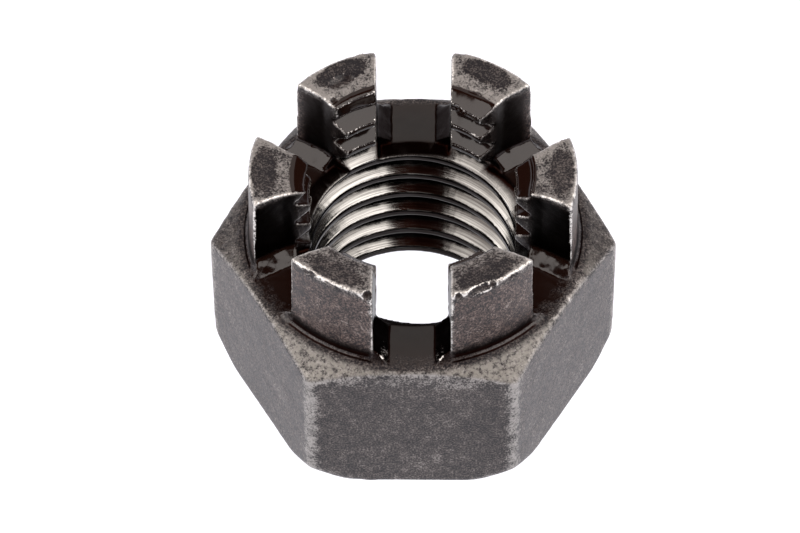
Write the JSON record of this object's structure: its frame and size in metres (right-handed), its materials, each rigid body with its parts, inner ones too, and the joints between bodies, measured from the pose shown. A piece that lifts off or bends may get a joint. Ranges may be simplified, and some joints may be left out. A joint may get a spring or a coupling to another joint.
{
  "type": "castle nut",
  "caption": "Hexagonal castle nut: a threaded hexagon with a slotted crown, so that a split pin through two slots locks it to a drilled bolt.",
  "frame": {"origin": "centre of the bearing face, on the thread's axis", "axes": "+Z along the thread's axis, from the bearing face towards the crown; two flats of the hexagon face -Y and +Y, and two corners lie on -X and +X"},
  "size_m": [0.0276, 0.024, 0.0188],
  "materials": {
    "black_steel": "oiled black oxide on forged steel, worn to lighter metal along edges, prong tops and thread"
  },
  "bodies": {
    "root": {"castle_nut": "black_steel"}
  },
  "joints": []
}
